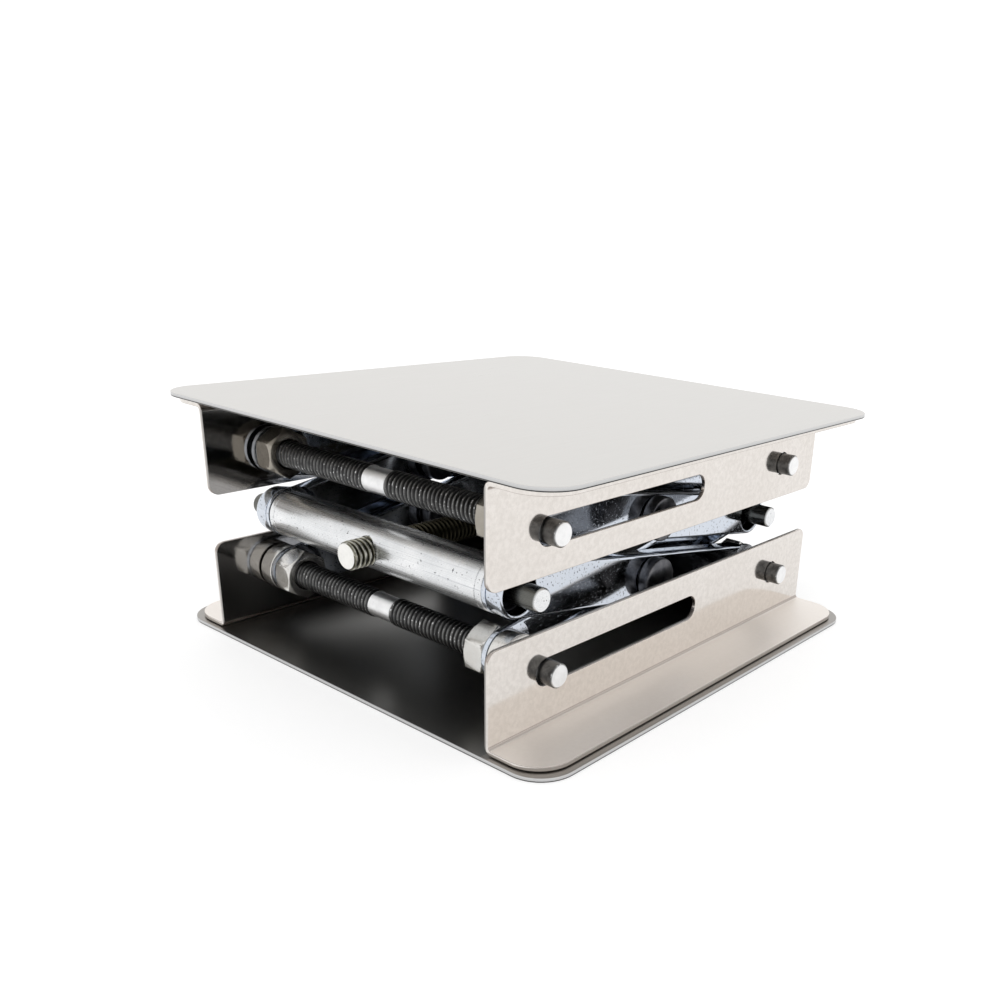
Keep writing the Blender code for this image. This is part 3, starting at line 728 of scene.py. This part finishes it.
def stadium(half_length, radius, steps):
    return arc(half_length, 0, radius, -90, 90, steps) + arc(-half_length, 0, radius, 90, 270, steps)


def extruded(name, outline, depth):
    """Solid of the outline in local XY, from z = 0 to z = depth."""
    work = bmesh.new()
    face = work.faces.new([work.verts.new((x, y, 0)) for x, y in outline])
    made = bmesh.ops.extrude_face_region(work, geom=[face])["geom"]
    bmesh.ops.translate(work, verts=[v for v in made if isinstance(v, bmesh.types.BMVert)],
                        vec=(0, 0, depth))
    return cleaned(work, name)


def cut(mesh, cutters):
    """Mesh with the cutter meshes taken out of it; all are used up."""
    source = bpy.data.objects.new("cut", mesh)
    bpy.context.scene.collection.objects.link(source)
    tools = []
    for cutter in cutters:
        tool = bpy.data.objects.new("cutter", cutter)
        bpy.context.scene.collection.objects.link(tool)
        boolean = source.modifiers.new("cut", "BOOLEAN")
        boolean.operation = "DIFFERENCE"
        boolean.object = tool
        tools.append(tool)
    result = bpy.data.meshes.new_from_object(source.evaluated_get(bpy.context.evaluated_depsgraph_get()))
    for used in [source] + tools:
        bpy.data.objects.remove(used)
    return result


def round_corners(mesh, chosen, radius):
    """Round the short edges through the sheet whose midpoint satisfies chosen(x, y, z)."""
    work = bmesh.new()
    work.from_mesh(mesh)
    edges = [e for e in work.edges
             if e.calc_length() < SHORT_EDGE and chosen(*((e.verts[0].co + e.verts[1].co) / 2))]
    bmesh.ops.bevel(work, geom=edges, offset=radius, segments=CORNER_STEPS, profile=0.5, affect="EDGES")
    work.to_mesh(mesh)
    work.free()


def plate_mesh(width, thickness):
    middle = width / 2 - PLATE_CORNER
    outline = []
    for sign_x, sign_y, start in ((1, 1, 0), (-1, 1, 90), (-1, -1, 180), (1, -1, 270)):
        outline += arc(sign_x * middle, sign_y * middle, PLATE_CORNER, start, start + 90, CORNER_STEPS)
    return extruded("plate", outline, thickness)


def bracket_mesh(node, sheet, front_y, rear_y, axle_z):
    """Right-hand base bracket with its bend, slot and axle hole."""
    low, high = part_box(node)
    bend_x, bend_z = low.x + BEND_RADIUS, low.z + BEND_RADIUS
    outline = [(high.x, low.z), (high.x, low.z + sheet)]
    outline += arc(bend_x, bend_z, BEND_RADIUS - sheet, 270, 180, CORNER_STEPS)
    outline += [(low.x + sheet, high.z), (low.x, high.z)]
    outline += arc(bend_x, bend_z, BEND_RADIUS, 180, 270, CORNER_STEPS)
    mesh = extruded("bracket", outline, high.y - low.y)
    mesh.transform(place(0, high.y, 0) @ Matrix.Rotation(math.pi / 2, 4, "X"))
    end_y = high.y - MERGE
    round_corners(mesh, lambda x, y, z: abs(y) > end_y and z > high.z - MERGE, FLANGE_CORNER)
    round_corners(mesh, lambda x, y, z: abs(y) > end_y and x > high.x - MERGE, FOOT_CORNER)
    through = sheet + 2 * OVERRUN
    slot = extruded("slot", stadium(SLOT_TRAVEL / 2 + RUNNING_GAP, SLOT_RADIUS, SLOT_STEPS), through)
    slot.transform(place(low.x - OVERRUN, front_y + SLOT_TRAVEL / 2, axle_z) @ ALONG_X)
    hole = turned("hole", [(HOLE_RADIUS, 0), (HOLE_RADIUS, through)])
    hole.transform(place(low.x - OVERRUN, rear_y, axle_z) @ ALONG_X)
    return cut(mesh, [slot, hole])


def hollow_mesh(radius, low, high, opens_down=False):
    """Round cutter about local Z, with a filleted floor; it flares to a rounded lip where it opens."""
    low_cut, high_cut = (-DISH_LIP, DISH_FILLET) if opens_down else (DISH_FILLET, -DISH_LIP)
    profile = rounded_end(radius, low, 1, low_cut, HOLLOW_STEPS)
    profile += rounded_end(radius, high, -1, high_cut, HOLLOW_STEPS)[::-1]
    if opens_down:
        profile.insert(0, (radius + DISH_LIP, low - OVERRUN))
    else:
        profile.append((radius + DISH_LIP, high + OVERRUN))
    return turned("hollow", profile)


def pocket_outline(half, end_radius, sheet):
    """Hollow under a raised panel, between the middle dish and the end at local x = half."""
    middle_radius = DISH_RADIUS + sheet
    middle_angle = math.degrees(math.asin(DISH_RADIUS / middle_radius))
    end_angle = math.degrees(math.asin(DISH_RADIUS / end_radius))
    outline = arc(0, 0, middle_radius, -middle_angle, middle_angle, CORNER_STEPS)
    return outline + arc(half, 0, end_radius, 180 - end_angle, 180 + end_angle, CORNER_STEPS)


def arm_mesh(length, depth, sheet, outer):
    """Pressed bar along Y from its web plane x = 0 to its raised panels at x = depth.

    An inner arm has a flat tongue in the web plane at both ends. An outer arm has a dish at -Y, and
    at +Y a tongue near its outer face. Its dishes are marked to be painted near black, as shade in the
    hollows.
    """
    half = length / 2
    sides = [(EDGE_BREAK, 0), (EDGE_BREAK * 0.3, EDGE_BREAK * 0.3), (0, EDGE_BREAK)]
    for i in range(PRESS_STEPS + 1):
        angle = math.pi / 2 * i / PRESS_STEPS
        sides.append((PRESS_RADIUS * (1 - math.cos(angle)), depth - PRESS_RADIUS * (1 - math.sin(angle))))
    block = lofted("arm", [[(x, y, z) for x, y in stadium(half, ARM_RADIUS - inset, SLOT_STEPS)]
                           for inset, z in sides])
    front_radius = DISH_RADIUS if outer else FLAT_END_RADIUS
    tongue = OUTER_TONGUE if outer else 0
    cutters = []
    for along, radius in ((-half, HOLE_RADIUS), (0, RIVET_HOLE), (half, HOLE_RADIUS)):
        drill = turned("drill", [(radius, -2 * OVERRUN), (radius, depth + 2 * OVERRUN)])
        cutters.append((drill, place(along, 0, 0)))
    for along, radius, floor in ((-half, front_radius, sheet), (0, DISH_RADIUS, sheet),
                                 (half, FLAT_END_RADIUS, tongue + sheet)):
        cutters.append((hollow_mesh(radius, floor, depth), place(along, 0, 0)))
    if outer:
        under_tongue = hollow_mesh(FLAT_END_RADIUS, 0, OUTER_TONGUE, opens_down=True)
        cutters.append((under_tongue, place(half, 0, 0)))
    for turn, radius in ((math.pi, front_radius), (0, FLAT_END_RADIUS)):
        pocket = extruded("pocket", pocket_outline(half, radius + sheet, sheet), depth)
        cutters.append((pocket, Matrix.Rotation(turn, 4, "Z") @ place(0, 0, -sheet)))
    for cutter, matrix in cutters:
        cutter.transform(matrix)
    mesh = cut(block, [cutter for cutter, matrix in cutters])
    dishes = (-half, 0) if outer else (0,)
    # Mark the dish points, which the material paints near black as shade.
    dish_shade = mesh.attributes.new("dish_shade", "FLOAT", "POINT")
    for point, value in zip(mesh.vertices, dish_shade.data):
        x, y, z = point.co
        dished = any(math.hypot(x - along, y) < DISH_RADIUS + MERGE for along in dishes)
        value.value = 1 if dished and sheet - MERGE < z < depth - DISH_LIP else 0
    mesh.transform(ALONG_X)
    return shaded(mesh)


# Pieces

def add_sheet_metal():
    """Plates and brackets; all four brackets are the right-hand base one, mirrored."""
    inner_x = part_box("base_bracket_right")[0].x
    plates = {"base_plate": satin_plate("plate_steel_base", 0.45, inner_x),
              "top_plate": satin_plate("plate_steel_top", 1, 0)}
    low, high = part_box("base_plate")
    sheet = high.z - low.z
    for node, plate in plates.items():
        mesh = plate_mesh(high.x - low.x, sheet)
        mesh.transform(place(0, 0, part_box(node)[0].z))
        piece(node + "_sheet", shaded(mesh), plate, node, EDGE_BREAK)
    bracket = rolled_bracket(inner_x + sheet / 2)
    front, rear = centre_of("lower_front_axle"), centre_of("lower_rear_axle")
    base = bracket_mesh("base_bracket_right", sheet, front.y, rear.y, front.z)
    upside_down = place(0, 0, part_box("top_plate")[1].z) @ Matrix.Scale(-1, 4, (0, 0, 1))
    for level, flip in (("base", Matrix.Identity(4)), ("top", upside_down)):
        for side, sign in SIDES:
            mesh = base.copy()
            mirror = flip @ Matrix.Scale(sign, 4, (1, 0, 0))
            mesh.transform(mirror)
            if mirror.determinant() < 0:
                mesh.flip_normals()
            node = f"{level}_bracket_{side}"
            piece(node + "_sheet", shaded(mesh), bracket, node, EDGE_BREAK)


def add_arms():
    """Each arm runs between two axle or bar centres, which give its length and tilt."""
    sheet = size_of("base_plate").z
    ends = {"a": ("lower_front_axle", "rear_bearing_bar"), "b": ("front_nut_bar", "lower_rear_axle"),
            "c": ("front_nut_bar", "upper_rear_axle"), "d": ("upper_front_axle", "rear_bearing_bar")}
    for letter, (front_node, rear_node) in ends.items():
        front, rear = centre_of(front_node), centre_of(rear_node)
        run, rise = rear.y - front.y, rear.z - front.z
        tilt = math.atan2(rise, run)
        material = plated_arm("arm_steel_" + letter, tilt)
        outer = letter in "bd"
        for side, sign in SIDES:
            node = f"arm_{letter}_{side}"
            low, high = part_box(node)
            mesh = arm_mesh(math.hypot(run, rise), high.x - low.x, sheet, outer)
            raised_to_right = (sign > 0) == outer
            x = low.x if raised_to_right else high.x
            turn = tilt + math.pi if letter == "d" else tilt
            middle = place(x, (front.y + rear.y) / 2, (front.z + rear.z) / 2)
            matrix = middle @ Matrix.Rotation(turn, 4, "X")
            if not raised_to_right:
                matrix = matrix @ Matrix.Rotation(math.pi, 4, "Y")
            mesh.transform(matrix)
            piece(node + "_pressing", mesh, material, node)


def add_turned_pieces(fastener):
    """Rivets, spacers and thrust collars."""
    rivet = dark_rivet()
    for node in sorted(frame["nodes"]):
        low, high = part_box(node)
        middle = (low + high) / 2
        size = high - low
        finish = fastener
        matrix = place(low.x, middle.y, middle.z) @ ALONG_X
        if "_rivet_" in node:
            mesh = rivet_mesh(size.x)
            finish = rivet
        elif "_spacer_" in node:
            mesh = ring_mesh("spacer", size.y / 2, HOLE_RADIUS, size.x, CORNER_BREAK)
        elif "thrust_collar" in node:
            mesh = ring_mesh("collar", size.x / 2, JOURNAL_RADIUS + RUNNING_GAP, size.y, CORNER_BREAK)
            matrix = place(middle.x, low.y, middle.z) @ ALONG_Y
        else:
            continue
        mesh.transform(matrix)
        piece(node + "_turned", mesh, finish, node)


def rod_of(node):
    """The axle that a nut sits on."""
    return "_".join(node.split("_")[:2]) + "_axle"


def add_nuts(fastener):
    """Hex nuts; the sliding upper axle's are darker and browner than the rest."""
    darker_brown = zinc_fastener("fastener_steel_browned", (0.42, 0.395, 0.35), (0.26, 0.235, 0.20))
    for node in sorted(frame["nodes"]):
        if "_nut_" not in node or node == "front_nut_bar":
            continue
        low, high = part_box(node)
        across_flats = min(high.y - low.y, high.z - low.z)
        bore = size_of(rod_of(node)).y / 2 + RUNNING_GAP / 3
        centre = (low + high) / 2
        mesh = nut_mesh("nut", across_flats, bore, high.x - low.x)
        mesh.transform(place(low.x, centre.y, centre.z) @ ALONG_X)
        finish = darker_brown if node.startswith("upper_front") else fastener
        piece(node + "_hex", mesh, finish, node)


def add_axles():
    """Each axle is threaded as far as the outer face of its right-hand nut."""
    axle_steel = thread_steel("rod_steel_axles", (0.045, 0.045, 0.046), (0.075, 0.075, 0.076),
                        (0.15, 0.15, 0.147), (0.86, 0.86, 0.86))
    for node in ("lower_front_axle", "lower_rear_axle", "upper_front_axle", "upper_rear_axle"):
        low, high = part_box(node)
        centre = (low + high) / 2
        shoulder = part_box(node.replace("axle", "nut_right"))[1].x - centre.x
        mesh = axle_mesh((high.x - low.x) / 2, shoulder, (high.y - low.y) / 2)
        mesh.transform(place(*centre) @ ALONG_X)
        piece(node + "_threaded", mesh, axle_steel, node)


def add_bars():
    """Cross bars with the hole that the drive screw passes through."""
    bar = zinc_bar()
    for node, bore in (("front_nut_bar", size_of("drive_screw").x / 2 + RUNNING_GAP / 2),
                       ("rear_bearing_bar", JOURNAL_RADIUS + RUNNING_GAP)):
        low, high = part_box(node)
        centre = (low + high) / 2
        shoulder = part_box("lower_front_nut_right")[1].x - centre.x
        mesh = bar_mesh(node, (high.x - low.x) / 2, shoulder, (high.y - low.y) / 2)
        mesh.transform(place(*centre) @ ALONG_X)
        reach = size_of(node).y
        drill = turned("drill", [(bore, -reach), (bore, reach)])
        drill.transform(place(*centre) @ ALONG_Y)
        mesh = shaded(cut(mesh, [drill]))
        # Mark the pin sides, which the material paints dark as shade.
        pin_shade = mesh.attributes.new("pin_shade", "FLOAT", "POINT")
        for point, value in zip(mesh.vertices, pin_shade.data):
            beyond = abs(point.co.x - centre.x)
            value.value = 1 if shoulder - MERGE < beyond < (high.x - low.x) / 2 - MERGE else 0
        piece(node + "_turned", mesh, bar, node)


def add_drive(fastener):
    """Drive screw, knob, and the knob's bush and nut."""
    bronze = thread_steel("rod_steel_screw", (0.05, 0.045, 0.03), (0.22, 0.21, 0.16),
                          (0.62, 0.61, 0.54), (0.86, 0.85, 0.82), centre_of("front_nut_bar").y)
    low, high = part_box("drive_screw")
    centre = (low + high) / 2
    thread_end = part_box("thrust_collar_inner")[0].y
    mesh = screw_mesh(low.y, thread_end, high.y, (high.x - low.x) / 2)
    mesh.transform(place(centre.x, 0, centre.z) @ ALONG_Y)
    piece("drive_screw_threaded", mesh, bronze, "drive_screw")

    low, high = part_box("knob")
    mesh = knob_mesh((high.x - low.x) / 2, high.y - low.y, BUSH_RADIUS + RUNNING_GAP)
    mesh.transform(place(centre.x, low.y, centre.z) @ ALONG_Y)
    piece("knob_grip", mesh, moulded_plastic(), "knob")

    low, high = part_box("knob_bush")
    length = high.y - low.y
    flange_radius, flange_length = BUSH_FLANGE
    bore = JOURNAL_RADIUS + RUNNING_GAP
    profile = rounded_end(flange_radius, 0, 1, CORNER_BREAK)
    profile += rounded_end(flange_radius, flange_length, -1, CORNER_BREAK)[::-1]
    profile += [(BUSH_RADIUS, flange_length), (BUSH_RADIUS, length), (bore, length), (bore, 0)]
    mesh = turned("bush", profile, closed=True)
    mesh.transform(place(centre.x, low.y, centre.z) @ ALONG_Y)
    piece("knob_bush_turned", mesh, fastener, "knob_bush")

    low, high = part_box("knob_nut")
    mesh = nut_mesh("knob_nut", min(high.x - low.x, high.z - low.z), bore, high.y - low.y)
    mesh.transform(place(centre.x, low.y, centre.z) @ ALONG_Y)
    piece("knob_nut_hex", mesh, fastener, "knob_nut")


# Stage

FLOOR_SIZE = 4.0
FLOOR_Z = -0.05 * MM                # just under the base plate
FLOOR_GLOW = 0.58
FLAG_HALF_WIDTH = 52 * MM
FLAG_LOW = 1 * MM
FLAG_HIGH = 68 * MM
FLAG_Y = 75.5 * MM                  # just behind the plates
SKY = 1.05
CAMERA_PLACE = (0.20266, -0.21675, 0.11902)
CAMERA_AZIMUTH = math.radians(36.74)
CAMERA_ELEVATION = math.radians(21.84)
CAMERA_ROLL = math.radians(3.27)
CAMERA_LENS = 35.44
CAMERA_SHIFT = (-0.1309, 0.1192)


def add_card(name, corners, location, material):
    """Four-cornered stage card."""
    mesh = bpy.data.meshes.new(name)
    mesh.from_pydata(corners, [], [(0, 1, 2, 3)])
    mesh.materials.append(material)
    card = bpy.data.objects.new(name, mesh)
    bpy.context.scene.collection.objects.link(card)
    card.location = location
    return card


def add_floor():
    """White floor that fades into the white surroundings."""
    shader = Shader("floor_white", (0.5, 0.5, 0.5), 0, 0.7)
    shader.main.inputs["Emission Color"].default_value = (1, 1, 1, 1)
    shader.main.inputs["Emission Strength"].default_value = FLOOR_GLOW
    shader.main.inputs["Specular IOR Level"].default_value = 0.1
    half = FLOOR_SIZE / 2
    corners = [(-half, -half, 0), (half, -half, 0), (half, half, 0), (-half, half, 0)]
    add_card("floor", corners, (0, 0, FLOOR_Z), shader.material)


def add_flag():
    """Dark card behind the jack, seen only in reflections, that keeps its inside dark."""
    shader = Shader("flag_black", (0.0, 0.0, 0.0), 0, 0.9)
    shader.main.inputs["Specular IOR Level"].default_value = 0
    corners = [(-FLAG_HALF_WIDTH, 0, FLAG_LOW), (FLAG_HALF_WIDTH, 0, FLAG_LOW),
               (FLAG_HALF_WIDTH, 0, FLAG_HIGH), (-FLAG_HALF_WIDTH, 0, FLAG_HIGH)]
    flag = add_card("flag", corners, (0, FLAG_Y, 0), shader.material)
    flag.visible_camera = False
    flag.visible_diffuse = False
    flag.visible_shadow = False
    flag.visible_transmission = False


def add_light():
    """Even white light from all round."""
    world = bpy.data.worlds.new("studio")
    bpy.context.scene.world = world
    world.use_nodes = True
    background = world.node_tree.nodes["Background"]
    background.inputs["Color"].default_value = (1.0, 1.0, 1.0, 1)
    background.inputs["Strength"].default_value = SKY


def add_camera():
    """Camera at the front right, looking along -back."""
    a, e, r = CAMERA_AZIMUTH, CAMERA_ELEVATION, CAMERA_ROLL
    back = Vector((math.sin(a) * math.cos(e), -math.cos(a) * math.cos(e), math.sin(e)))
    level = Vector((math.cos(a), math.sin(a), 0))
    rise = back.cross(level)
    right = math.cos(r) * level + math.sin(r) * rise
    up = -math.sin(r) * level + math.cos(r) * rise
    camera = bpy.data.objects.new("camera", bpy.data.cameras.new("camera"))
    bpy.context.scene.collection.objects.link(camera)
    camera.data.lens = CAMERA_LENS
    camera.data.sensor_width = 36
    camera.data.shift_x, camera.data.shift_y = CAMERA_SHIFT
    camera.data.clip_start = 0.01
    camera.matrix_world = Matrix((
        (right.x, up.x, back.x, CAMERA_PLACE[0]), (right.y, up.y, back.y, CAMERA_PLACE[1]),
        (right.z, up.z, back.z, CAMERA_PLACE[2]), (0, 0, 0, 1)))
    bpy.context.scene.camera = camera


add_sheet_metal()
add_arms()
zinc = zinc_fastener("fastener_steel", (0.78, 0.78, 0.77), (0.62, 0.595, 0.55))
add_turned_pieces(zinc)
add_nuts(zinc)
add_axles()
add_bars()
add_drive(zinc)
add_floor()
add_flag()
add_light()
add_camera()
bpy.context.scene.view_settings.view_transform = "Standard"
